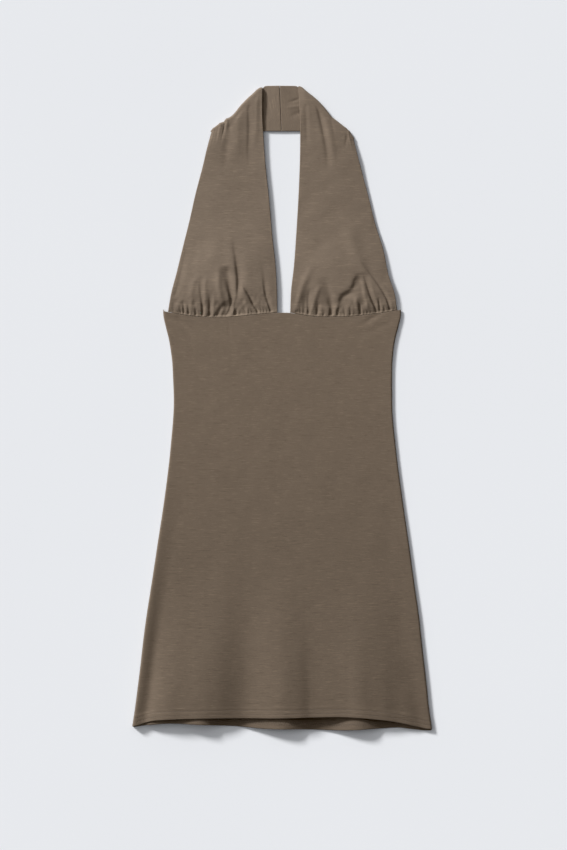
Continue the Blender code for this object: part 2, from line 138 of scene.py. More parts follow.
def addObject(name, data):
    thing = bpy.data.objects.new(name, data)
    bpy.context.scene.collection.objects.link(thing)
    return thing


def meshPiece(name, points, faces, material):
    data = bpy.data.meshes.new(name)
    data.from_pydata(((points + middleShift) * mm).tolist(), [], faces)
    data.shade_smooth()
    data.materials.append(material)
    return addObject(name, data)


def clothShell(name, middle, normal, outerDepth, innerDepth, place, material):
    # closed thin shell: two faces a cloth's thickness apart that meet in a rounded edge
    reach = (outerDepth + innerDepth) / 2
    rim = np.minimum(edgeDistance(middle) / reach, 1)
    rounding = np.sqrt(1 - (1 - rim) ** 2)
    outer = middle + normal * (outerDepth * rounding)[..., None]
    inner = middle - normal * (innerDepth * rounding)[..., None]
    points = np.vstack([outer.reshape(-1, 3), inner[1:-1, 1:-1].reshape(-1, 3)])
    onOuter = np.arange(rim.size).reshape(rim.shape)
    # the inner face shares the points along the edge
    onInner = onOuter.copy()
    own = onInner[1:-1, 1:-1]
    own[...] = rim.size + np.arange(own.size).reshape(own.shape)
    quads = []
    for index, order in ((onOuter, 1), (onInner, -1)):
        corners = [index[:-1, :-1], index[:-1, 1:], index[1:, 1:], index[1:, :-1]]
        quads.append(np.stack([corner.ravel() for corner in corners], axis=1)[:, ::order])
    quads = np.vstack(quads)
    a, b, c, d = (points[quads[:, k]] for k in range(4))
    volume = np.einsum("ij,ij->", a, np.cross(b, c)) + np.einsum("ij,ij->", a, np.cross(c, d))
    if volume < 0:
        quads = quads[:, ::-1]
    piece = meshPiece(name, points, quads.tolist(), material)
    flat = np.vstack([place.reshape(-1, 3), place[1:-1, 1:-1].reshape(-1, 3)])
    attribute = piece.data.attributes.new("clothPlace", "FLOAT_VECTOR", "POINT")
    attribute.data.foreach_set("vector", (flat * mm).ravel())
    return piece


# finishes: jersey with slub flecks, sewing thread, pale floor

jerseyFinish = {
    "roughness": (0.88, 0.76),  # of the dark and the light yarn
    "sheen": 0.16,
    "sheenRoughness": 0.45,
    "specular": 0.22,
    "fleckLength": 0.0095,  # metres, along the courses
    "fleckHeight": 0.00098,
    "waleWidth": 0.00105,
    "courseHeight": 0.00078,
    "knitRelief": 0.00016,
    "fleckRelief": 0.00006,
}
# the last value of each panel is how strongly painted shade darkens its tone towards the hem
taupeTones = {
    "bodyFront": {"Ground": (0.169, 0.129, 0.095, 1), "Amount": 0.8, "Fade": -0.19},
    "bodyBack": {"Ground": (0.16, 0.122, 0.09, 1), "Amount": 0.8, "Fade": -0.15},
    # painted light: the halters' ground is lighter than the body's, and the left halter's a touch
    # lighter than the right's, for the brighter light on the top and left of the dress
    "halterLeft": {"Ground": (0.197, 0.153, 0.1155, 1), "Amount": 0.72, "Fade": 0.0},
    "halterRight": {"Ground": (0.19, 0.147, 0.1105, 1), "Amount": 0.72, "Fade": 0.0},
}


class NodeBench:
    # places shader nodes in a tree and joins them by name
    def __init__(self, tree):
        self.tree = tree

    def add(self, kind, **settings):
        node = self.tree.nodes.new(kind)
        for key, value in settings.items():
            setattr(node, key, value)
        return node

    def feed(self, socket, value):
        if isinstance(value, bpy.types.NodeSocket):
            self.tree.links.new(value, socket)
        elif value is not None:
            socket.default_value = value

    def feedNamed(self, node, values):
        for name, value in values.items():
            self.feed(node.inputs[name], value)
        return node.outputs

    def feedInTurn(self, node, *values):
        for socket, value in zip(node.inputs, values):
            self.feed(socket, value)
        return node.outputs[0]

    def math(self, operation, a, b=None, c=None, clamp=False):
        node = self.add("ShaderNodeMath", operation=operation, use_clamp=clamp)
        return self.feedInTurn(node, a, b, c)

    def vector(self, operation, a, b):
        return self.feedInTurn(self.add("ShaderNodeVectorMath", operation=operation), a, b)

    def noise(self, place, scale, detail=2.0, roughness=0.5):
        inputs = {"Vector": place, "Scale": scale, "Detail": detail, "Roughness": roughness}
        return self.feedNamed(self.add("ShaderNodeTexNoise"), inputs)[0]

    def between(self, value, low, high, outLow=0.0, outHigh=1.0):
        node = self.add("ShaderNodeMapRange", interpolation_type="SMOOTHSTEP")
        return self.feedInTurn(node, value, low, high, outLow, outHigh)

    def mixColour(self, factor, a, b, blend="MIX"):
        node = self.add("ShaderNodeMix", data_type="RGBA", blend_type=blend)
        self.feed(node.inputs[0], factor)
        self.feed(node.inputs[6], a)
        self.feed(node.inputs[7], b)
        return node.outputs[2]


def groupBench(name, inputs, outputs):
    group = bpy.data.node_groups.new(name, "ShaderNodeTree")
    for way, sockets in (("INPUT", inputs), ("OUTPUT", outputs)):
        for socket, kind in sockets.items():
            group.interface.new_socket(name=socket, in_out=way, socket_type="NodeSocket" + kind)
    bench = NodeBench(group)
    taken = bench.add("NodeGroupInput").outputs
    given = bench.add("NodeGroupOutput").inputs
    return bench, taken, given


# noise scale, detail and roughness, the range that shows, its lowest value, its tone
melange = {
    "lightYarn": (0.62, 2.0, 0.55, 0.53, 0.74, 0.0, 0.3),
    "darkYarn": (0.7, 2.0, 0.5, 0.55, 0.76, 0.0, -0.2),
    "fibre": (1.0, 3.0, 0.65, 0.3, 0.7, -1.0, 0.075),
    "cloud": (26.0, 3.0, 0.6, 0.3, 0.7, -1.0, 0.028),
}
# painted shade: where along the dress the tone darkens towards the hem and how it slants to the right
paintedShadeSpan = {"slant": -0.18, "hem": -0.47, "end": 0.14}  # metres along the dress


def makeSlubMelangeAndShade():
    # short level flecks of lighter and darker yarn over a faintly clouded ground, and painted shade that
    # deepens towards the hem
    inputs = {"Place": "Vector", "Ground": "Color", "Amount": "Float", "Fade": "Float"}
    outputs = {"Colour": "Color", "Fleck": "Float"}
    bench, taken, given = groupBench("slubMelangeAndShade", inputs, outputs)
    axes = bench.add("ShaderNodeSeparateXYZ")
    bench.feed(axes.inputs[0], taken["Place"])
    long = bench.feedInTurn(
        bench.add("ShaderNodeCombineXYZ"),
        bench.math("DIVIDE", axes.outputs[0], jerseyFinish["fleckLength"]),
        bench.math("DIVIDE", axes.outputs[1], jerseyFinish["fleckHeight"]),
        axes.outputs[2],
    )
    places = {
        "lightYarn": long,
        "darkYarn": bench.vector("ADD", long, (37, 11, 5)),
        "fibre": bench.vector("MULTIPLY", long, (2.6, 1.4, 1.0)),
        "cloud": taken["Place"],
    }
    patterns, tone = {}, 0.0
    for name, (scale, detail, roughness, low, high, lowest, share) in melange.items():
        noise = bench.noise(places[name], scale, detail, roughness)
        patterns[name] = bench.between(noise, low, high, lowest)
        tone = bench.math("MULTIPLY_ADD", patterns[name], share, tone)
    lightYarn, darkYarn = patterns["lightYarn"], patterns["darkYarn"]
    tone = bench.math("MULTIPLY_ADD", tone, taken["Amount"], 1.0)
    # painted shade: the tone darkens slowly towards the hem, more so on the right, standing in for the
    # light that falls off there; fitted to the photo
    aslant = bench.math("MULTIPLY_ADD", axes.outputs[0], paintedShadeSpan["slant"], axes.outputs[1])
    shadeMask = bench.between(aslant, paintedShadeSpan["hem"], paintedShadeSpan["end"], 1.0, 0.0)
    tone = bench.math("MULTIPLY", tone, bench.math("MULTIPLY_ADD", shadeMask, taken["Fade"], 1.0))
    warm = bench.mixColour(lightYarn, (1, 1, 1, 1), (1.0, 0.995, 0.975, 1))
    level = bench.feedInTurn(bench.add("ShaderNodeCombineXYZ"), tone, tone, tone)
    shaded = bench.mixColour(1.0, taken["Ground"], level, "MULTIPLY")
    bench.feed(given["Colour"], bench.mixColour(1.0, shaded, warm, "MULTIPLY"))
    bench.feed(given["Fleck"], bench.math("SUBTRACT", lightYarn, darkYarn))
    return bench.tree


def makeJerseyKnit():
    # columns of small V stitches, the right side of a single jersey
    outputs = {"Height": "Float", "Groove": "Float"}
    bench, taken, given = groupBench("jerseyKnit", {"Place": "Vector"}, outputs)
    axes = bench.add("ShaderNodeSeparateXYZ")
    bench.feed(axes.inputs[0], taken["Place"])
    wale = bench.math("FRACT", bench.math("DIVIDE", axes.outputs[0], jerseyFinish["waleWidth"]))
    fromMiddle = bench.math("ABSOLUTE", bench.math("MULTIPLY_ADD", wale, 2.0, -1.0))
    course = bench.math("DIVIDE", axes.outputs[1], jerseyFinish["courseHeight"])
    course = bench.math("FRACT", bench.math("MULTIPLY_ADD", fromMiddle, 0.5, course))
    fromYarn = bench.math("ABSOLUTE", bench.math("MULTIPLY_ADD", course, 2.0, -1.0))
    column = bench.math("SUBTRACT", 1.0, bench.math("POWER", fromMiddle, 4.0))
    yarn = bench.math("SUBTRACT", 1.0, bench.math("MULTIPLY", fromYarn, fromYarn))
    height = bench.math("MULTIPLY", column, yarn)
    bench.feed(given["Height"], bench.math("MULTIPLY", height, jerseyFinish["knitRelief"]))
    bench.feed(given["Groove"], bench.math("SUBTRACT", 1.0, height, clamp=True))
    return bench.tree


slubMelangeAndShade = makeSlubMelangeAndShade()
jerseyKnit = makeJerseyKnit()


def newMaterial(name):
    material = bpy.data.materials.new(name)
    material.use_nodes = True
    return material, NodeBench(material.node_tree), material.node_tree.nodes["Principled BSDF"]


def addBump(bench, shader, height, **values):
    bump = bench.add("ShaderNodeBump")
    bench.feedNamed(bump, {"Height": height, **values})
    bench.feed(shader.inputs["Normal"], bump.outputs[0])


def jerseyMaterial(name):
    material, bench, shader = newMaterial(name + "Jersey")
    place = bench.add("ShaderNodeAttribute", attribute_name="clothPlace").outputs["Vector"]
    yarn = bench.add("ShaderNodeGroup", node_tree=slubMelangeAndShade)
    yarn = bench.feedNamed(yarn, {"Place": place, **taupeTones[name]})
    knit = bench.feedNamed(bench.add("ShaderNodeGroup", node_tree=jerseyKnit), {"Place": place})
    # painted shade: the base colour is darkened in the grooves between the stitches and lightened a
    # little on the yarn tops
    grooveShade = bench.mixColour(knit["Groove"], (1.04, 1.04, 1.04, 1), (0.9, 0.89, 0.88, 1))
    fleckRelief = bench.math("MULTIPLY", yarn["Fleck"], jerseyFinish["fleckRelief"])
    relief = bench.math("ADD", knit["Height"], fleckRelief)
    addBump(bench, shader, relief, Distance=1.0, Strength=0.6)
    finish = {
        "Base Color": bench.mixColour(1.0, yarn["Colour"], grooveShade, "MULTIPLY"),
        "Roughness": bench.between(yarn["Fleck"], -1.0, 1.0, *jerseyFinish["roughness"]),
        "Specular IOR Level": jerseyFinish["specular"],
        "Sheen Weight": jerseyFinish["sheen"],
        "Sheen Roughness": jerseyFinish["sheenRoughness"],
    }
    bench.feedNamed(shader, finish)
    return material


def threadMaterial():
    material, bench, shader = newMaterial("sewingThread")
    place = bench.add("ShaderNodeTexCoord").outputs["Object"]
    strand = bench.between(bench.noise(place, 2600.0, 2.0), 0.35, 0.65)
    colour = bench.mixColour(strand, (0.135, 0.104, 0.078, 1), (0.215, 0.17, 0.13, 1))
    addBump(bench, shader, strand, Distance=0.0001)
    bench.feedNamed(shader, {"Base Color": colour, "Roughness": 0.6, "Sheen Weight": 0.1})
    return material


def floorMaterial():
    material, bench, shader = newMaterial("paleFloor")
    place = bench.add("ShaderNodeTexCoord").outputs["Object"]
    shade = bench.between(bench.noise(place, 1.6, 2.0), 0.35, 0.65)
    colour = bench.mixColour(shade, (0.805, 0.821, 0.854, 1), (0.811, 0.827, 0.86, 1))
    finish = {"Base Color": colour, "Roughness": 0.9, "Specular IOR Level": 0.1}
    bench.feedNamed(shader, finish)
    return material


# body panels

bodyCut = {
    "cloth": 1.2,
    "seamGap": 0.3,
    "hemDepth": 15.0,
    "hemTurn": 0.8,  # what the turned-up layer adds inside the hem
    "rollShare": 0.92,  # share of the half width where the side starts to roll over
    "layerRun": 34.0,  # how far in from the side the front takes to settle on the back
    "crown": 1.0,  # air between the panels, most along the middle
    "waveInset": 24.0,  # how far in from the side the waves and the creases reach full height
    "creaseInset": 5.0,
    "bridgeStart": 10.0,
    "bridgeRun": {"left": 48.0, "right": 85.0},
    "stitchRows": (5.4, 11.4),  # twin-needle rows above the hem edge
    "stitchSink": 0.2,
    "stitchGroove": 1.3,  # half width of the groove that a needle row pulls in
    "turnRidge": 0.18,  # the raw edge of the hem turn shows through as a faint step
    "turnRun": 2.5,
    "uneven": ((62, 0.1), (24, 0.03)),  # size and height of the handled cloth's unevenness
    "puckerSize": 9,  # the hem sewing draws in small puckers
    "puckerHeight": 0.07,
    "puckerMiddle": 8.4,
    "puckerReach": 11,
    "seamRidge": 0.1,  # the top edge stands up a little along the underbust seam
}
bodyHalf = bodyCut["cloth"] / 2
bodySides = {
    "height": [-462, -436, -407, -373, -336, -307, -249, -191, -133, -75, -46, -17, 12]
    + [41, 70, 99, 120, 134, 146],
    "centre": [0, 0, 0.4, 0.6, 0.6, 1.0, 1.4, 1.8, 2.0, 1.8, 1.6, 1.4, 1.4, 0.8, 0.4, 0, 0, 0.2, 0],
    "halfWidth": [217.5, 213.6, 210.2, 206.2, 202.0, 198.6, 190.0, 181.6, 173.0, 165.4, 162.4]
    + [159.6, 158.4, 158.8, 160.0, 163.9, 169.0, 172.2, 172.6],
    "rollRadius": [3.1, 3.1, 3.05, 3.0, 2.9, 2.8, 2.7, 2.6, 2.5, 2.45, 2.4, 2.4, 2.4, 2.4, 2.4]
    + [2.4, 2.35, 2.3, 2.3],
}
# edges by the share of the half width that lies to the right of the centre
frontHem = {
    "across": [-1, -0.91, -0.815, -0.7, -0.54, -0.15, 0.12, 0.36, 0.52, 0.71, 0.84, 0.92, 1],
    "height": [-461.2, -459.6, -452.6, -450.3, -449.0, -448.8, -447.9, -446.8, -448.8, -454.2]
    + [-461.2, -464.8, -464.6],
}
backHem = {
    "across": [-1, -0.93, -0.85, -0.7, -0.54, -0.4, -0.26, -0.13, 0.1, 0.36, 0.55, 0.64]
    + [0.72, 0.8, 0.88, 0.95, 1],
    "height": [-461.2, -462.0, -459.2, -456.4, -457.9, -459.4, -461.2, -464.0, -464.9, -466.6]
    + [-464.6, -463.6, -462.8, -464.6, -466.8, -466.9, -464.6],
}
underbustSeam = {
    "across": [-1, -0.9, -0.77, -0.65, -0.52, -0.39, -0.27, -0.14, -0.02, 0.07, 0.15, 0.28]
    + [0.4, 0.53, 0.66, 0.78, 0.89, 1],
    "height": [143.6, 140.1, 135.6, 132.8, 132.0, 132.7, 134.9, 137.2, 138.8, 138.5, 135.8]
    + [132.8, 132.6, 133.3, 135.6, 138.4, 142.0, 143.6],
}
backTop = {
    "across": [-1, -0.8, -0.5, 0, 0.5, 0.8, 1],
    "height": [143.6, 134.4, 129.2, 127.4, 129.2, 134.4, 143.6],
}
layerGaps = {
    "height": [-462, -446, -436, -300, -200, 0, 90, 124, 146],
    "gap": [2.1, 2.1, 1.6, 2.0, 2.3, 2.4, 2.4, 2.2, 2.0],
}
# how far the front spans the troughs of the back
bridgeShares = {
    "x": [-217, -130, -92, -54, -20, 10, 22, 34, 60, 88, 100, 114, 150, 217],
    "share": [0.62, 0.6, 0.5, 0.32, 0.5, 0.6, 0.66, 0.76, 0.78, 0.62, 0.46, 0.5, 0.74, 0.7],
}
# foot x and y, tip x and y, half width to the left and to the right, rise
hemWaves = [
    (-170, -460, -152, -310, 45, 56, 7.0),
    (-116, -460, -104, -236, 46, 39, 13.7),
    (3, -466, -1, -214, 63, 44, 13.4),
    (113, -466, 101, -236, 52, 42, 12.2),
    (184, -468, 170, -340, 22, 22, 2.4),
]
frontWaves = [
    (-87, -462, -80, -120, 30, 40, 2.1),
    (-44, -462, -42, -200, 26, 42, -0.8),
    (6, -462, 2, -90, 44, 44, 1.4),
    (117, -462, 98, -150, 38, 44, 0.3),
    (159, -464, 144, -280, 32, 44, 2.6),
    (42, -462, 36, -250, 14, 56, -1.9),
    (23, -462, 19, -250, 14, 15, 0.8),
]
frontCreases = [
    # the trough beside the rib of the left side tightens to the hem
    (0.2, (-462, -196, 0.2, 7), (-367, -189, 0.4, 9), (-278, -180, 0.4, 11), (-89, -148, 0, 15)),
    # drag from the left end of the underbust seam
    (0, (60, -118, 0, 12), (104, -134, 0.3, 9), (134, -150, 0.5, 6)),
    (0.1, (94, -75.6, 0, 4), (106, -76.4, 0.3, 3.4), (122, -77, 0.35, 3), (133, -78, 0, 3)),
]
# these run across the dress: place along is x here
frontDrags = [
    (-0.25, (110, 121.4, 0, 5), (120.4, 125.4, 0.5, 5.6), (127.6, 130, 0.8, 5.6), (136, 134.6, 0.9, 5),
     (145, 138.6, 0.5, 4), (152, 140.6, 0, 3)),
    (0, (96, 106, 0, 10), (128, 112, 0.4, 8), (158, 126, 0.2, 6)),
    (-0.2, (-170, 138, 0, 5), (-158, 131, 0.7, 6), (-146, 125, 0.9, 7), (-132, 115, 0.5, 9),
     (-116, 105, 0, 10)),
]
leftRib = {
    "height": [-462, -420, -367, -278, -180, -89, 0],
    "lift": [4.2, 3.9, 3.0, 1.9, 1.0, 0.4, 0],
    "run": [20, 20, 20, 22, 25, 29, 33],
}
# the left side of the skirt stands off the floor at the hem
sideLift = {
    "height": [-462, -420, -370, -320, -250, -180],
    "lift": [4.2, 3.4, 2.2, 1.2, 0.3, 0],
    "start": 95.0,  # how far left of the centre it starts
    "run": 95.0,
    "inset": 30.0,  # the rolled side itself stays down
}


def liftedSide(x, y):
    out = (curve(bodySides, "centre", y) - x - sideLift["start"]) / sideLift["run"]
    inset = smooth(insetFromRoll(x, y) / sideLift["inset"])
    return curve(sideLift, "lift", y) * smooth(out) * inset


def insetFromRoll(x, y):
    side = curve(bodySides, "halfWidth", y) - curve(bodySides, "rollRadius", y)
    return side - abs(x - curve(bodySides, "centre", y))


def hemWave(x, y):
    return waveHeight(x, y, hemWaves) * smooth(insetFromRoll(x, y) / bodyCut["waveInset"])


def backHeight(x, y):
    return bodyHalf + hemWave(x, y) + liftedSide(x, y)


def frontHeight(x, y):
    # the front settles on the back and spans the troughs between its waves
    inset = insetFromRoll(x, y)
    run = np.where(x < 0, curve(leftRib, "run", y), bodyCut["layerRun"])
    settled = smooth(inset / run)
    atRoll = 2 * curve(bodySides, "rollRadius", y) - bodyCut["cloth"]
    share = (x - curve(bodySides, "centre", y)) / curve(bodySides, "halfWidth", y)
    onBack = bodyCut["cloth"] + curve(layerGaps, "gap", y) + bodyCut["crown"] * (1 - share**2)
    wave = hemWave(x, y)
    _, footY, _, tipY, _, _, rise = hemWaves[2]  # the middle wave
    tallest = rise * smooth((tipY - y) / (tipY - footY))
    bridgeRun = np.where(x < 0, bodyCut["bridgeRun"]["left"], bodyCut["bridgeRun"]["right"])
    bridge = curve(bridgeShares, "share", x) * (tallest - wave)
    bridge = bridge * smooth((inset - bodyCut["bridgeStart"]) / bridgeRun)
    folds = waveHeight(x, y, frontWaves) * settled
    creases = creaseHeight(x, y, frontCreases) + creaseHeight(y, x, frontDrags)
    creases = creases * smooth(inset / bodyCut["creaseInset"])
    rib = np.where(x < 0, curve(leftRib, "lift", y), 0) * (1 - settled)
    level = mix(atRoll, onBack, settled) + wave + liftedSide(x, y)
    return bodyHalf + level + bridge + folds + creases + rib


# the last value keeps each panel on its own part of the yarn pattern
bodyPanels = {
    "front": dict(hem=frontHem, top=underbustSeam, height=frontHeight, side=1, yarnPlace=40.0),
    "back": dict(hem=backHem, top=backTop, height=backHeight, side=-1, yarnPlace=-300.0),
}


def bodySurface(across, up, panel):
    cut = bodyPanels[panel]
    y = mix(curve(cut["hem"], "height", across), curve(cut["top"], "height", across), up)
    radius = curve(bodySides, "rollRadius", y)
    middleRadius = radius - bodyHalf
    seamAngle = bodyCut["seamGap"] / 2 / middleRadius
    rollShare = bodyCut["rollShare"]
    share = np.minimum(abs(across), rollShare) / rollShare
    turn = np.maximum(abs(across) - rollShare, 0) / (1 - rollShare) * (pi / 2 - seamAngle)
    aside = share * (curve(bodySides, "halfWidth", y) - radius) + middleRadius * np.sin(turn)
    x = curve(bodySides, "centre", y) + np.sign(across) * aside
    rolled = radius + cut["side"] * middleRadius * np.cos(turn)
    if panel == "front":
        rolled = rolled + np.where(across < 0, curve(leftRib, "lift", y), 0) * np.cos(turn)
    z = np.where(turn > 0, rolled, cut["height"](x, y))
    return np.stack([x, y, z], axis=-1)


def hemProfile(above):
    # what the sewing does to the outer face, by the distance above the hem edge
    rows = sum(bell(above - row, bodyCut["stitchGroove"]) for row in bodyCut["stitchRows"])
    turned = smooth((above - bodyCut["hemDepth"]) / bodyCut["turnRun"])
    return -bodyCut["stitchSink"] * rows - bodyCut["turnRidge"] * turned


def bodyPanel(name, panel):
    cut = bodyPanels[panel]
    # stations lie closer at the rounded edges and at the hem
    edge = [0, 0.0009, 0.0035, 0.0075, 0.0125]
    side = [1 - gap for gap in edge] + spread(0.98, bodyCut["rollShare"], 10)
    flat = spread(bodyCut["rollShare"], -bodyCut["rollShare"], 146)
    across = np.array(side + flat + [-station for station in side[::-1]])[::-1]
    edge = [0, 0.00008, 0.0003, 0.0007, 0.0012]
    up = edge + spread(0.0022, 0.03, 30) + spread(0.03, 0.9, 165) + spread(0.9, 0.9975, 28)
    up = np.array(up + [1 - gap for gap in edge[::-1]])
    grid = np.meshgrid(across, up)
    middle = bodySurface(*grid, panel)
    x, y = middle[..., 0], middle[..., 1]
    above = y - curve(cut["hem"], "height", grid[0])
    inset = smooth((insetFromRoll(x, y) - 2) / 30)
    # drawn for both panels, but only the front shows it
    uneven = sum(unevenCloth(x, y, *wave) for wave in bodyCut["uneven"])
    puckers = unevenCloth(x, 3 * y, bodyCut["puckerSize"], bodyCut["puckerHeight"])
    puckers = puckers * bell(above - bodyCut["puckerMiddle"], bodyCut["puckerReach"])
    if panel == "front":
        middle[..., 2] += inset * (uneven + puckers)
        atSeam = 1 - smooth((curve(cut["top"], "height", grid[0]) - y) / 2.6)
        middle[..., 2] += bodyCut["seamRidge"] * atSeam * smooth((1 - abs(grid[0])) / 0.06)
    normal = gridNormal(middle) * cut["side"]
    outer = bodyHalf + hemProfile(above)
    inTurn = 1 - smooth((above - bodyCut["hemDepth"] + 0.6) / 1.2)
    inner = bodyHalf + bodyCut["hemTurn"] * inTurn * smooth((1 - abs(grid[0])) / 0.02)
    if panel == "back":
        outer = np.full(np.shape(x), bodyHalf)
    place = np.stack([x, y, np.full(np.shape(x), cut["yarnPlace"])], axis=-1)
    return clothShell(name, middle, normal, outer, inner, place, jerseyMaterial(name))


bodyFront = bodyPanel("bodyFront", "front")
bodyBack = bodyPanel("bodyBack", "back")
print("body panels made")


# halter pieces: gathered cup, strap, fold at the neck and half of the neck band

halterCut = {
    "cloth": 1.8,  # two layers of the jersey
    "innerHeights": (138.6, 465.2),
    "outerHeights": {"left": (142.6, 402.4), "right": (144.2, 392.0)},
    "neckSeamTop": (-3.4, 468.2),
    "neckSeamFoot": (-0.8, 402.2),
    "floorRoom": 1.5,  # the middle of a gathered wall stays this far off the floor
    "floorSoftness": 2.2,
    "edgeBend": 6,  # how close to their ends the edges bend to meet them
    "neckRise": (0.86, 0.14),  # where the strap starts to rise to its fold, and over how much
    "foldsFade": (0.955, 0.045),  # the same for the fading of its creases
    "uneven": ((46, 0.16), (19, 0.05)),
    "gatherUneven": (8.5, 0.2),
    "bandRise": 1.5,  # the neck band stands a little off the floor at its centre seam
    "bandSlope": 14,  # most of the band's slope lies under the straps
    "yarnPlace": {"left": 500.0, "right": 900.0},
}
halterHalf = halterCut["cloth"] / 2
edgeStations = [0, 0.1, 0.2, 0.35, 0.5, 0.65, 0.8, 0.9, 1]
halterEdges = {
    "left": {
        "along": edgeStations,
        "inner": [-6.6, -7.3, -9.0, -14.3, -18.4, -23.6, -27.0, -28.6, -28.4],
        "outer": [-165.4, -160.6, -153.6, -144.0, -134.3, -125.6, -115.8, -110.2, -104.2],
    },
    "right": {
        "along": edgeStations,
        "inner": [11.8, 13.2, 17.0, 20.6, 23.6, 26.0, 27.5, 27.8, 27.8],
        "outer": [167.0, 163.0, 154.6, 146.8, 135.2, 126.2, 117.0, 111.4, 106.4],
    },
}
# outline of the fold at the neck, from the inner to the outer edge, and its radius
neckFolds = {
    "left": {
        "across": [0, 0.05, 0.11, 0.19, 0.29, 0.44, 0.59, 0.7, 0.8, 0.91, 1],
        "x": [-28.4, -31.8, -36.4, -42.0, -49.8, -60.8, -71.6, -81.4, -90.2, -99.2, -104.0],
        "y": [465.7, 465.5, 462.6, 457.2, 450.2, 438.8, 425.8, 419.2, 413.2, 407.6, 402.0],
        "radius": [2.7, 2.8, 2.9, 2.9, 2.7, 2.5, 2.4, 2.3, 2.2, 1.9, 1.2],
    },
    "right": {
        "across": [0, 0.05, 0.11, 0.19, 0.29, 0.43, 0.56, 0.67, 0.78, 0.87, 0.93, 1],
        "x": [24.0, 28.6, 34.0, 40.6, 49.4, 60.4, 70.2, 79.8, 88.8, 95.6, 100.0, 105.2],
        "y": [468.0, 466.4, 461.8, 456.4, 449.4, 438.0, 425.8, 417.2, 410.2, 404.6, 398.8, 391.6],
        "radius": [1.1, 1.6, 2.2, 2.4, 2.4, 2.4, 2.4, 2.3, 2.2, 2.0, 1.8, 1.2],
    },
}
halterHeights = {
    "left": {
        "along": [0, 0.05, 0.12, 0.22, 0.38, 0.55, 0.75, 0.86, 0.94, 1],
        "inner": [0, 4.6, 4.8, 4.6, 4.6, 4.8, 5.0, 6.0, 6.6, 5.7],
        "middle": [0, 6.3, 9.0, 9.1, 5.8, 4.4, 4.8, 5.6, 6.0, 5.7],
        "outer": [0, 5.2, 5.4, 4.6, 3.5, 2.9, 3.3, 4.3, 5.2, 5.7],
    },
    "right": {
        "along": [0, 0.05, 0.12, 0.22, 0.38, 0.55, 0.75, 0.9, 1],
        "inner": [0, 5.4, 6.2, 5.6, 4.4, 3.8, 4.3, 5.4, 5.7],
        "middle": [0, 6.3, 9.0, 9.1, 6.1, 4.8, 5.0, 5.8, 5.7],
        "outer": [0, 5.2, 5.4, 4.6, 3.5, 2.9, 3.3, 4.9, 5.7],
    },
}
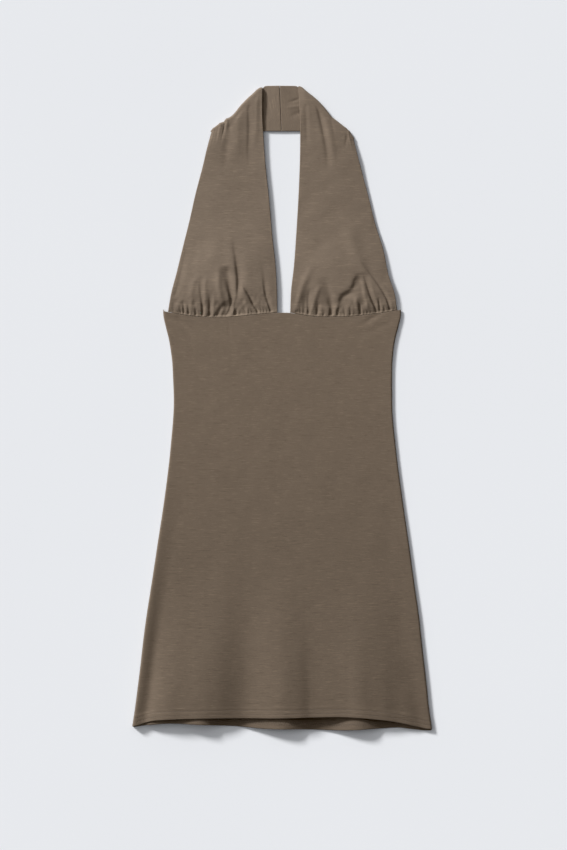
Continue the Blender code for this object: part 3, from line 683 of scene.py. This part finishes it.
# ripples of the outline at the neck: share across, half width, push outwards
neckRipples = {
    "left": [(0.69, 0.03, 0.7), (0.74, 0.02, -0.8), (0.8, 0.035, 0.7), (0.89, 0.03, -0.3)],
    "right": [(0.6, 0.05, -0.4), (0.9, 0.03, 0.4)],
}
bandCreases = [
    (0, (6, 444, 0, 4), (16, 446, 0.5, 3.4), (27, 450, 0.8, 3)),
    (0, (4, 436, 0, 4), (14, 437, -0.4, 4), (27, 439, -0.5, 4)),
    (0, (10, 424, 0, 6), (20, 427, 0.6, 6), (30, 430, 0.9, 6)),
]
leftCreases = [
    # beside the outer edge, and the soft dome of the cup
    (0.2, (158, -157, 0.3, 5), (178, -150.4, 0.6, 6), (202, -144.5, 0.6, 7), (240, -137, 0, 8)),
    (0, (184, -128, 0, 13), (214, -130, 0.8, 14), (250, -126, 0, 16)),
    (0, (196, -100, 0, 18), (226, -99, -1, 20), (262, -94, 0, 20)),
    # fingers between the gathers at the outer end of the seam
    (0, (141, -146.8, 1.1, 2.2), (150, -147.6, 0, 2.4)),
    (0.1, (139.5, -142.3, 1.8, 2.4), (149, -142.8, 1.3, 2.6), (157, -144, 0, 3)),
    (0.1, (137, -135.4, 1.6, 2.4), (144, -135.8, 1.2, 2.4), (153, -136.2, 0, 3)),
    (0, (139, -131.6, -0.3, 4), (160, -131.4, -0.7, 6), (178, -129.2, -0.7, 7), (197, -120, 0, 8)),
    (0.3, (137, -125.2, 2, 2.8), (144, -125.4, 0.9, 3.2), (152, -126.2, 0.2, 4), (160, -126, 0, 5)),
    (0.3, (135, -115.8, 3, 3), (144, -115.2, 2.4, 3.4), (156, -116.2, 1.2, 4.2), (172, -117.8, 0.9, 4.8),
     (190, -118, 0, 5.4)),
    (0, (139, -111, -0.2, 3), (166, -111.6, -0.5, 4.4), (182, -111, -0.6, 5), (194, -110, 0, 6)),
    (0.3, (134, -105, 2.2, 4), (149, -104.8, 2.2, 4.6), (158, -104.4, 1.2, 5.4), (174, -106, 0, 6.4)),
    (0, (138, -99.7, -0.3, 3), (152, -99.3, -0.4, 4), (164, -99, 0, 4)),
    # branch of the deep tuck along the seam
    (-0.1, (133, -94.4, 1.8, 4.6), (141, -90.8, 1.7, 5.4), (149.5, -85.4, 1, 5.6), (157, -79.6, 0, 5)),
    (-0.35, (130, -83.4, 2.3, 9), (145, -80.4, 2.4, 9), (153, -77, 1, 8), (160, -75, 0, 7)),
    (0.5, (128, -69, 1, 8), (140, -68, 1.6, 8), (151, -67, 1.3, 7.4), (161, -66, 0.4, 6),
     (168, -65.6, 0, 5)),
    (-0.4, (128, -56, 1, 12), (140, -57, 1.7, 12), (150, -58, 1.1, 10), (161, -60, 0, 8)),
    # the deep tuck with its blunt upper end
    ((0.35, 0.45, 0.5, 0.45, 0.25, 0, -0.2, -0.3), (134, -80.4, 1.4, 4.4), (144.5, -75.6, 2.2, 5.4),
     (153.6, -73.4, 2.9, 6.2), (163, -74.2, 3.3, 7.2), (174, -76, 3.4, 8.2), (186.5, -77.6, 3, 9.2),
     (198, -79.4, 2.3, 10.4), (206, -80, 0, 10.4)),
    (0, (150, -86.5, -0.4, 5), (163, -89, -1, 6), (184, -92, -1.3, 7), (210, -92, 0, 9)),
    # the long crease
    (0.45, (154, -65.4, 0, 4.4), (163, -64.6, 0.8, 5.2), (172, -63.8, 2, 6.6), (185, -62.9, 2.8, 8.4),
     (199, -64, 2.8, 9), (216, -66.2, 1.8, 9.4), (232, -68.6, 0.8, 9.4), (252, -70, 0, 9.4)),
    (0, (138, -51, -0.3, 5), (156, -51.5, -0.8, 7), (172, -56.4, -1, 7), (192, -59.5, 0, 8)),
    # the slanting crease towards the inner edge
    (0.2, (139, -35.2, 3, 2.8), (143, -36.2, 3.4, 3.2), (150, -41, 3, 3.3), (163, -47.2, 2.5, 3.5),
     (173, -53.6, 1.2, 3.5), (182, -58.4, 0, 4)),
    (0, (138, -70.7, -0.9, 2.4), (149, -70.4, 0, 2.6)),
    (0.1, (138, -67, 1.5, 2.4), (148.6, -65.4, 0, 3)),
    (0, (137, -60.6, 1.2, 2.4), (145, -60.2, 0, 3)),
    (0.1, (137.5, -52.8, 1.9, 2.8), (152, -55.2, 0, 3.4)),
    (0.1, (137.5, -47.1, 1.6, 2.6), (147, -49, 0, 3)),
    (0.1, (138, -42.4, 1.4, 2.4), (145, -45, 0, 3)),
    (0.1, (139, -29.9, 1.6, 2.4), (149, -31.8, 0, 3)),
    (0.1, (139, -25.4, 1.6, 2.3), (148, -27.6, 0, 3)),
    (0.1, (140, -21, 1.4, 2.2), (147, -23.2, 0, 3)),
    (0.4, (141, -16.8, 2.3, 3), (146, -17.8, 2, 3.4), (158, -21.8, 1.7, 4), (170, -24.4, 1.6, 4.8),
     (190, -26.3, 0.6, 6), (214, -29, 0, 7)),
    # strap
    (0.3, (346, -46, 0, 9), (376, -48.2, 0.7, 7), (404, -47.4, 1, 6.4), (446, -48.4, 0.7, 6)),
    (0, (352, -66, 0, 11), (384, -65, -0.7, 10), (446, -61, -0.5, 9)),
    (0, (380, -39, 0, 6), (408, -37, -0.4, 5), (458, -36.4, -0.5, 4.5)),
    (0, (346, -82, 0, 9), (372, -81, 0.9, 9), (404, -76, 0.5, 7), (420, -73, 0, 6)),
    (0.1, (392, -82.4, 0, 4.4), (402, -83.6, 0.8, 3.6), (418, -85.2, 1.1, 2.8)),
    (0.1, (400, -75.4, 0, 3.6), (412, -76.4, 0.5, 3), (424, -77.4, 0.6, 2.6)),
    (0.1, (386, -93.4, 0, 4.6), (398, -94.6, 0.5, 4), (410, -96, 0.6, 3.4)),
]
rightCreases = [
    (0, (140, 21.6, -0.3, 5), (149, 22.5, -0.7, 5.6), (163, 25.2, -1.1, 6.2), (178, 29.7, -1.1, 7),
     (198, 38.8, -0.7, 8), (212, 44, 0, 9)),
    (0, (137, 22.5, 1.2, 2.4), (144, 22.8, 0, 2.6)),
    (0.1, (137.7, 26.8, 1.6, 2.4), (150, 26.8, 0, 2.8)),
    (0.1, (139.5, 31.6, 1.5, 4.4), (150, 33, 1.3, 6), (163, 35, 1.3, 7), (176, 38.4, 0.6, 8),
     (190, 43, 0, 8)),
    (0.3, (137.7, 38.2, 2, 3.2), (149, 38, 1.5, 4.2), (163, 39, 1.1, 5.4), (176, 42, 0, 6.4)),
    (0, (139.5, 42.4, -0.4, 3.4), (152, 46, -1, 5), (168, 50.4, -1, 6), (180, 55, 0, 6.4)),
    (0.2, (136, 50.6, 2.3, 3.4), (145, 51.8, 2, 4.4), (155, 53.4, 0, 5)),
    (0.2, (136, 60.6, 1.5, 3), (143, 60.4, 0, 3.4)),
    # blunt tuck: its dark wall is the wide one
    ((0.2, 0.1, -0.1, -0.2, -0.2, -0.2), (134, 70.8, 3, 4.4), (146, 71.8, 2.8, 6), (158, 70.8, 2.3, 8.6),
     (168, 68, 2.2, 10.4), (178, 64.8, 1.8, 10.8), (191, 61, 0, 10.4)),
    # the great slanting tuck
    (0.2, (136, 86, 0.6, 6), (150, 88.6, 1.3, 9), (161, 93, 1.5, 11), (168, 100, 1.5, 12),
     (176, 108, 1.5, 12), (185, 112.6, 1.2, 11), (198, 115, 0, 10)),
    # with dark little folds of its own along the edge
    (0.2, (133, 80.8, 2.2, 3.8), (141, 81.2, 2.2, 4.6), (150, 84, 0.8, 5.6), (157, 85.4, 1.5, 6.4),
     (163, 89, 1.6, 7), (167.5, 95, 1.1, 7.4), (171, 101, 0.5, 7.4), (177, 104.4, 1.3, 7),
     (185, 106.4, 1.4, 7), (191, 109, 0.5, 6.8), (196, 111, 0, 6.6)),
    # its hollow goes on falling to the right
    (-0.15, (150, 119, 0, 8), (163, 119.6, 1.6, 12), (174, 118, 2, 13), (184, 115, 1.6, 12),
     (197, 110.6, 0, 10)),
    (0, (137, 108.4, -0.3, 3.4), (147, 108.6, -1.1, 4.6), (155, 107.6, -1.6, 5), (163, 106, 0, 5)),
    (0.1, (133, 86, 1.5, 2.4), (142, 85.4, 0, 2.8)),
    (0.1, (133, 91.6, 1.8, 2.6), (149, 89.4, 0, 3)),
    (0.1, (134, 99.6, 1.8, 2.6), (151, 98.4, 0, 3)),
    (0.1, (136, 113.6, 2.6, 2.6), (147, 112.8, 1.6, 2.8), (153, 112.4, 0, 3)),
    (0.1, (136, 119.4, 1.4, 2.4), (144, 119, 0, 2.8)),
    (0.1, (136, 124.9, 1.7, 2.4), (144, 123, 0, 2.8)),
    (0.1, (136, 129.8, 1.5, 2.2), (143, 129, 0, 2.6)),
    # pair of creases from the outer end
    (0.35, (139.5, 136.9, 2.8, 3.6), (147, 135.1, 3.2, 4.3), (159.5, 129.8, 3.3, 5.2),
     (170.4, 126.2, 2.8, 5.6), (183, 122.4, 1.6, 6), (197, 118, 0, 6)),
    (0, (146, 124.6, -0.6, 4), (163, 120.6, -1.3, 4.5), (180, 117.8, -0.9, 5), (196, 114, 0, 6)),
    (0, (148, 138.6, -0.5, 4), (168, 131.8, -1.1, 4.6), (190, 125, 0, 6)),
    (0.3, (143, 156.6, 2.2, 2.6), (156, 153, 2, 3), (170.4, 145.7, 1.8, 3.8), (187, 134.9, 1.4, 4.6),
     (205, 122.2, 0.8, 5.8), (219, 113.6, 0, 7)),
    (0.1, (141.4, 141.9, 2.3, 2.6), (152, 140.8, 1.9, 2.8), (162, 139.9, 0, 3.2)),
    (0.1, (141.4, 148.9, 1.7, 2.2), (151, 147.5, 0, 2.6)),
    # the dome of the cup ends in a soft shoulder
    (0, (194, 123, 0, 9), (208, 117, -1.1, 11), (226, 107, -1.6, 14), (250, 99, -1.1, 16),
     (282, 92, 0, 18)),
    # strap
    (0.15, (340, 67.6, 0, 8), (374, 65.2, 1, 6.8), (408, 58.8, 1.6, 5.8), (434, 53, 1.4, 5.4),
     (446, 50.4, 0.7, 5.4)),
    (0, (350, 76, 0, 8), (384, 72, -0.8, 8), (420, 64, -0.6, 7)),
    (0, (376, 36.8, 0, 6), (408, 35.6, 0.7, 5), (440, 34.4, 0.5, 5)),
    (0.1, (378, 91.6, 0, 4), (392, 94, 0.7, 4), (408, 96.4, 0.8, 4)),
]
halterCreases = {"left": leftCreases, "right": rightCreases}
seamPuckers = {"spacing": 3.8, "depth": 0.85, "reach": 6.0, "halfWidth": 1.9}
seamDrop = 0.45  # the gathered edge is sewn in just under the edge of the body

topEdge = bodySurface(np.linspace(-0.999, 0.999, 900), np.ones(900), "front")


def neckFold(side, across):
    # centre line of the fold in plan, the direction out across it and its radius
    fold = neckFolds[side]
    low, high = np.clip(across - 0.04, 0, 1), np.clip(across + 0.04, 0, 1)
    runX, runY = (curve(fold, axis, high) - curve(fold, axis, low) for axis in ("x", "y"))
    length = np.hypot(runX, runY)
    turn = 1 if side == "left" else -1
    outX, outY = turn * runY / length, -turn * runX / length
    push = sum(out * bell(across - at, wide) for at, wide, out in neckRipples[side])
    radius = curve(fold, "radius", across)
    reach = radius + halterHalf - push
    radius = radius + 0.4 * push
    x, y = (curve(fold, axis, across) - out * reach for axis, out in (("x", outX), ("y", outY)))
    return x, y, outX, outY, radius


def seamLine(side, across):
    edges = halterEdges[side]
    x = mix(edges["inner"][0], edges["outer"][0], across)
    y, z = (np.interp(x, topEdge[:, 0], topEdge[:, k]) for k in (1, 2))
    return x, y + bodyCut["seamGap"], z - seamDrop


def halterHeight(side, across, along):
    # below the first row past the seam the cup falls to the seam
    heights = {key: column[1:] for key, column in halterHeights[side].items()}
    inner, middle, outer = (curve(heights, c, along) for c in ("inner", "middle", "outer"))
    crown = 1 - (2 * across - 1) ** 2
    level = mix(mix(inner, outer, across), middle, crown)
    fall = np.clip(1 - along / heights["along"][0], 0, 1) ** 1.4
    return mix(level, seamLine(side, across)[2], fall)


def puckerHeight(side, x, y, seamY):
    # the tight little pleats that the gathering thread leaves along the seam
    up = y - seamY
    low, high = sorted((halterEdges[side]["inner"][0], halterEdges[side]["outer"][0]))
    total = np.zeros(np.shape(x))
    at = low + seamPuckers["spacing"]
    while at < high - 3:
        drift, deep, tall, wide = seed.uniform((-0.09, 0.45, 0.5, 0.8), (0.09, 1.2, 1.5, 1.3))
        reach = seamPuckers["reach"] * tall
        fade = 1 - smooth(up / reach)
        pleat = bell(x - at - drift * up, seamPuckers["halfWidth"] * wide)
        total -= seamPuckers["depth"] * deep * fade * pleat
        at += seamPuckers["spacing"] * seed.uniform(0.72, 1.35)
    return total


def halterEdge(side, edge, along):
    heights = halterCut["innerHeights"] if edge == "inner" else halterCut["outerHeights"][side]
    return curve(halterEdges[side], edge, along), mix(*heights, along)


def halterFront(side, across, along):
    # patch between the seam, the neck fold and the two edges, without its folds
    neckX, neckY, _, _, radius = neckFold(side, across)
    seamX, seamY, _ = seamLine(side, across)
    seamEnds = [seamLine(side, end) for end in (0, 1)]
    neckEnds = [neckFold(side, end) for end in (0, 1)]
    edges = [
        [halterEdge(side, edge, at) for edge in ("inner", "outer")] for at in (along, 0.0, 1.0)
    ]
    low, high = (1 - along) ** halterCut["edgeBend"], along ** halterCut["edgeBend"]
    point = []
    for k, atSeam, atNeck in ((0, seamX, neckX), (1, seamY, neckY)):
        value, footLine, neckLine = (mix(inner[k], outer[k], across) for inner, outer in edges)
        footEnds = mix(seamEnds[0][k], seamEnds[1][k], across)
        topEnds = mix(neckEnds[0][k], neckEnds[1][k], across)
        value = value + (footEnds - footLine) * low + (topEnds - neckLine) * high
        value = value + (atSeam - footEnds) * (1 - along) + (atNeck - topEnds) * along
        point.append(value)
    z = halterHeight(side, across, along)
    atFold = 2 * radius + halterHalf
    neckStart, neckRun = halterCut["neckRise"]
    atNeck = smooth((along - neckStart) / neckRun)
    z = z + (atFold - halterHeights[side]["middle"][-1]) * atNeck
    return np.stack([point[0], point[1], z], axis=-1)


def halterOver(side, across, along):
    # over the neck fold (1 to 2) and level along the neck band to the centre seam (2 to 3)
    x, y, outX, outY, radius = neckFold(side, across)
    axisZ = radius + halterHalf
    turn = np.clip(along - 1, 0, 1) * pi
    folded = [
        x + outX * radius * np.sin(turn),
        y + outY * radius * np.sin(turn),
        axisZ + radius * np.cos(turn),
    ]
    gap = bodyCut["seamGap"] / 2 * (1 if side == "right" else -1)
    endX = mix(halterCut["neckSeamTop"][0], halterCut["neckSeamFoot"][0], across) + gap
    endY = mix(halterCut["neckSeamTop"][1], halterCut["neckSeamFoot"][1], across)
    share = np.clip(along - 2, 0, 1)
    level = 1 - (1 - share) ** halterCut["bandSlope"]
    bandX, bandY = mix(x, endX, share), mix(y, endY, level)
    bandZ = halterHalf + halterCut["bandRise"] * smooth((share - 0.25) / 0.75)
    if side == "right":
        creases = creaseHeight(bandY, bandX, bandCreases)
        bandZ = bandZ + creases * smooth(share / 0.3) * smooth((1 - share) / 0.2)
    band = [bandX, bandY, np.maximum(bandZ, halterHalf)]
    return np.stack([np.where(along <= 2, f, b) for f, b in zip(folded, band)], axis=-1)


def halterPiece(name, side):
    edge = [0, 0.0006, 0.0022, 0.005, 0.0085]
    across = np.array(edge + spread(0.014, 0.986, 150) + [0.986] + [1 - gap for gap in edge[::-1]])
    seamRows = [0, 0.00025, 0.0009, 0.0019, 0.0031]
    front = seamRows + spread(0.005, 0.25, 92) + spread(0.25, 0.86, 78) + spread(0.86, 1.0, 24)
    over = spread(1.0, 2.0, 16) + spread(2.0, 2.97, 46)
    over += [3 - gap for gap in (0.02, 0.0125, 0.0065, 0.0022, 0)]
    acrossGrid, frontStations = np.meshgrid(across, front)
    frontGrid = halterFront(side, acrossGrid, frontStations)
    base = np.concatenate([frontGrid, halterOver(side, *np.meshgrid(across, over))])
    normal = gridNormal(base) * (-1 if side == "left" else 1)
    x, y = frontGrid[..., 0], frontGrid[..., 1]
    seamY = seamLine(side, acrossGrid)[1]
    nearEdge = smooth(np.minimum(acrossGrid, 1 - acrossGrid) / 0.045)
    folds = creaseHeight(x, y, halterCreases[side]) * nearEdge
    folds = folds * (0.45 + 0.55 * smooth(frontStations / 0.016))
    folds += puckerHeight(side, x, y, seamY) * nearEdge
    folds += sum(unevenCloth(x, y, *wave) for wave in halterCut["uneven"]) * nearEdge
    gathered = 1 - smooth((frontStations - 0.02) / 0.14)
    folds += unevenCloth(x, 0.6 * y, *halterCut["gatherUneven"]) * gathered * nearEdge
    fadeStart, fadeRun = halterCut["foldsFade"]
    belowNeck = 1 - smooth((frontStations - fadeStart) / fadeRun)
    folds *= belowNeck
    rise = frontGrid[..., 2] + folds
    # folds fade softly before they would reach the floor
    room, softness = halterCut["floorRoom"], halterCut["floorSoftness"]
    rise = room + np.logaddexp(0, (rise - room) * softness) / softness
    blend = smooth(frontStations / 0.01) * belowNeck
    base[: len(front), :, 2] = mix(frontGrid[..., 2], rise, blend)
    depth = np.full(base.shape[:2], halterHalf)
    # past the neck fold the yarn pattern runs on, as the cloth was cut
    steps = np.linalg.norm(np.diff(base, axis=0), axis=2)
    run = np.insert(np.cumsum(steps, axis=0), 0, 0, axis=0)
    beyond = np.maximum(run - run[len(front)], 0)
    neck = base[len(front)]
    place = np.zeros(base.shape)
    place[: len(front)] = base[: len(front)]
    place[len(front) :, :, 0] = neck[:, 0]
    place[len(front) :, :, 1] = neck[:, 1] + beyond[len(front) :]
    place[..., 2] = halterCut["yarnPlace"][side]
    return clothShell(name, base, normal, depth, depth, place, jerseyMaterial(name))


halterLeft = halterPiece("halterLeft", "left")
halterRight = halterPiece("halterRight", "right")
print("halter pieces made")


# hem sewing: twin-needle rows outside, cover threads inside

hemSewing = {
    "stitchLength": 2.7,
    "stitchGap": 0.55,
    "threadRadius": 0.21,
    "sideRoom": 0.012,  # share of the half width left free at the side seams
    "coverSpacing": 3.2,
    "unevenLength": 0.12,
    "unevenHeight": 0.06,
    "frontLift": 0.05,  # where the thread lies, off the sunk face of the front
    "backSink": 0.3,  # and in the inside of the back's hem
    "coverLift": 0.06,
}
thread = threadMaterial()


def surfaceFrame(panel, across, above, offset):
    # points at a height above a panel's hem edge, with the way out of the cloth
    cut = bodyPanels[panel]
    length = curve(cut["top"], "height", across) - curve(cut["hem"], "height", across)
    up = above / length
    step = 0.001
    point = bodySurface(across, up, panel)
    runAcross = bodySurface(across + step, up, panel) - bodySurface(across - step, up, panel)
    runUp = bodySurface(across, up + step, panel) - bodySurface(across, up - step, panel)
    normal = np.cross(runAcross, runUp)
    normal /= np.linalg.norm(normal, axis=1, keepdims=True)
    return point + normal * offset, normal


def stitchMesh(name, starts, ends, normals):
    # each stitch is a small bent capsule with its ends in the cloth
    along = np.array([0, 0.1, 0.3, 0.7, 0.9, 1])
    girth = np.array([0.3, 0.8, 1, 1, 0.8, 0.3]) * hemSewing["threadRadius"]
    lift = np.array([-1.3, -0.35, 0.25, 0.25, -0.35, -1.3]) * hemSewing["threadRadius"]
    sides = np.arange(6) / 6 * 2 * pi
    run = ends - starts
    ahead = run / np.linalg.norm(run, axis=1, keepdims=True)
    aside = np.cross(normals, ahead)
    centre = starts[:, None] + run[:, None] * along[None, :, None]
    centre = centre + normals[:, None] * lift[None, :, None]
    ring = np.cos(sides)[None, None, :, None] * aside[:, None, None]
    ring = ring + np.sin(sides)[None, None, :, None] * normals[:, None, None]
    points = centre[:, :, None] + ring * girth[None, :, None, None]
    count, rings, corners = points.shape[:3]
    first = np.arange(count)[:, None, None] * rings * corners
    low = first + (np.arange(rings - 1) * corners)[None, :, None]
    here, following = np.arange(corners), (np.arange(corners) + 1) % corners
    quads = np.stack(
        [low + here, low + following, low + corners + following, low + corners + here], axis=-1
    )
    faces = quads.reshape(-1, 4).tolist()
    caps = first[:, 0]
    faces += (caps + here[::-1]).tolist()
    faces += (caps + (rings - 1) * corners + here).tolist()
    return meshPiece(name, points.reshape(-1, 3), faces, thread)


def hemStitches(name, panel, face, above, lift):
    # face is 1 for the outside of the front and the inside of the back: both look up
    limit = 1 - hemSewing["sideRoom"]
    fine = np.linspace(-limit, limit, 4000)
    line, normals = surfaceFrame(panel, fine, above, 0)
    run = np.insert(np.cumsum(np.linalg.norm(np.diff(line, axis=0), axis=1)), 0, 0)
    pitch = hemSewing["stitchLength"] + hemSewing["stitchGap"]
    starts = np.arange(0.5, run[-1] - pitch, pitch)
    longer, higher = hemSewing["unevenLength"], hemSewing["unevenHeight"]
    jitter = seed.uniform(-longer, longer, (2, len(starts)))
    ends = []
    for at in (starts + jitter[0], starts + hemSewing["stitchLength"] + jitter[1]):
        height = above + seed.uniform(-higher, higher, len(at))
        ends.append(surfaceFrame(panel, np.interp(at, run, fine), height, lift * face))
    (a, normalA), (b, normalB) = ends
    normal = normalA + normalB
    normal *= face / np.linalg.norm(normal, axis=1, keepdims=True)
    return stitchMesh(name, a, b, normal)


def needleRows(panel, face, lift):
    return [
        hemStitches(f"{panel}HemStitches.{k}", panel, face, above, bodyHalf + lift)
        for k, above in enumerate(bodyCut["stitchRows"], 1)
    ]


frontStitches = needleRows("front", 1, hemSewing["frontLift"] - bodyCut["stitchSink"])
backStitches = needleRows("back", -1, -hemSewing["backSink"])


def coverThreads(name, panel, face):
    # the looper thread crosses to and fro between the two needle rows
    low, high = bodyCut["stitchRows"]
    limit = 1 - hemSewing["sideRoom"] * 2
    count = int(2 * limit * bodySides["halfWidth"][0] / hemSewing["coverSpacing"])
    stations = np.linspace(-limit, limit, count)
    between = stations + 0.5 * (stations[1] - stations[0])
    depth = bodyHalf + bodyCut["hemTurn"] + hemSewing["coverLift"]
    lower, normalA = surfaceFrame(panel, stations, low, depth * face)
    upper, normalB = surfaceFrame(panel, between, high, depth * face)
    starts = np.concatenate([lower, upper[:-1]])
    ends = np.concatenate([upper, lower[1:]])
    normals = np.concatenate([normalA, normalB[:-1]]) * face
    return stitchMesh(name, starts, ends, normals)


backCover = coverThreads("backHemCover", "back", 1)
frontCover = coverThreads("frontHemCover", "front", -1)
print("hems sewn")


# what each piece is and what it lies on; each piece goes under the root and hides its packed part

flatCuts = {
    "bodyFront": {"flat": (0.456, 0.632), "area": 0.246, "node": "body_front"},
    "bodyBack": {"flat": (0.456, 0.63), "area": 0.243, "node": "body_back"},
    "halterLeft": {"flat": (0.206, 0.43), "area": 0.054, "node": "halter_left"},
    "halterRight": {"flat": (0.206, 0.43), "area": 0.054, "node": "halter_right"},
}
layouts = [
    (bodyBack, ["paleFloor"], [*backStitches, backCover]),
    (bodyFront, ["bodyBack"], [*frontStitches, frontCover]),
    (halterLeft, ["paleFloor"], []),
    (halterRight, ["paleFloor"], []),
]

floorSize = 6.0
floorMesh = bpy.data.meshes.new("paleFloor")
half = floorSize / 2
floorMesh.from_pydata(
    [(-half, -half, 0), (half, -half, 0), (half, half, 0), (-half, half, 0)], [], [(0, 1, 2, 3)]
)
floorMesh.materials.append(floorMaterial())
floor = addObject("paleFloor", floorMesh)

for piece, restsOn, sewing in layouts:
    cut = flatCuts[piece.name]
    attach(piece, "root")
    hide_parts(cut["node"])
    for extra in sewing:
        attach(extra, "root")


# light and camera

studio = {
    "keyAim": (0.75, -0.72, -0.5),  # the way the light travels
    "keyPower": 4.2,
    "keySpread": 0.2,  # apparent size of the lamp in radians
    "keyColour": (1.0, 0.995, 0.985),
    "fillAim": (-0.45, 0.45, 0.77),  # where the soft light is brightest
    "fillLow": 0.05,
    "fillHigh": 0.99,
    "blackLevel": 0.01,  # tone response of the camera
    "fillColour": (0.985, 0.992, 1.0),
}
cameraSetup = {
    "target": (0.0021, -0.0245, 0.004),
    "longSide": 1.2325,  # metres across the photo's long side at the target
    "lens": 150.0,
    "sensor": 36.0,
}

lamp = bpy.data.lights.new("keyLamp", "SUN")
lamp.energy = studio["keyPower"]
lamp.angle = studio["keySpread"]
lamp.color = studio["keyColour"]
keyLamp = addObject("keyLamp", lamp)
keyLamp.rotation_mode = "QUATERNION"
keyLamp.rotation_quaternion = Vector(studio["keyAim"]).to_track_quat("-Z", "Y")

world = bpy.data.worlds.new("softFill")
world.use_nodes = True
background = world.node_tree.nodes["Background"]
background.inputs["Color"].default_value = (*studio["fillColour"], 1)
fillBench = NodeBench(world.node_tree)
toSky = fillBench.add("ShaderNodeTexCoord").outputs["Generated"]
towards = fillBench.add("ShaderNodeVectorMath", operation="DOT_PRODUCT")
fillBench.feedInTurn(towards, toSky, tuple(Vector(studio["fillAim"]).normalized()))
towards = fillBench.math("MAXIMUM", towards.outputs["Value"], 0.0)
share = fillBench.math("MULTIPLY", towards, towards)
low, high = studio["fillLow"], studio["fillHigh"]
strength = fillBench.math("MULTIPLY_ADD", share, high - low, low)
fillBench.feed(background.inputs["Strength"], strength)
bpy.context.scene.world = world
view = bpy.context.scene.view_settings
view.view_transform = "Standard"
view.use_curve_mapping = True
view.curve_mapping.black_level = (studio["blackLevel"],) * 3
view.curve_mapping.update()

lens = bpy.data.cameras.new("straightDown")
lens.sensor_width = cameraSetup["sensor"]
lens.lens = cameraSetup["lens"]
rise = cameraSetup["longSide"] / 2 / (cameraSetup["sensor"] / 2 / cameraSetup["lens"])
lens.clip_end = 4 * rise
camera = addObject("straightDown", lens)
camera.location = Vector(cameraSetup["target"]) + Vector((0, 0, rise))
bpy.context.scene.camera = camera

print("scene ready")
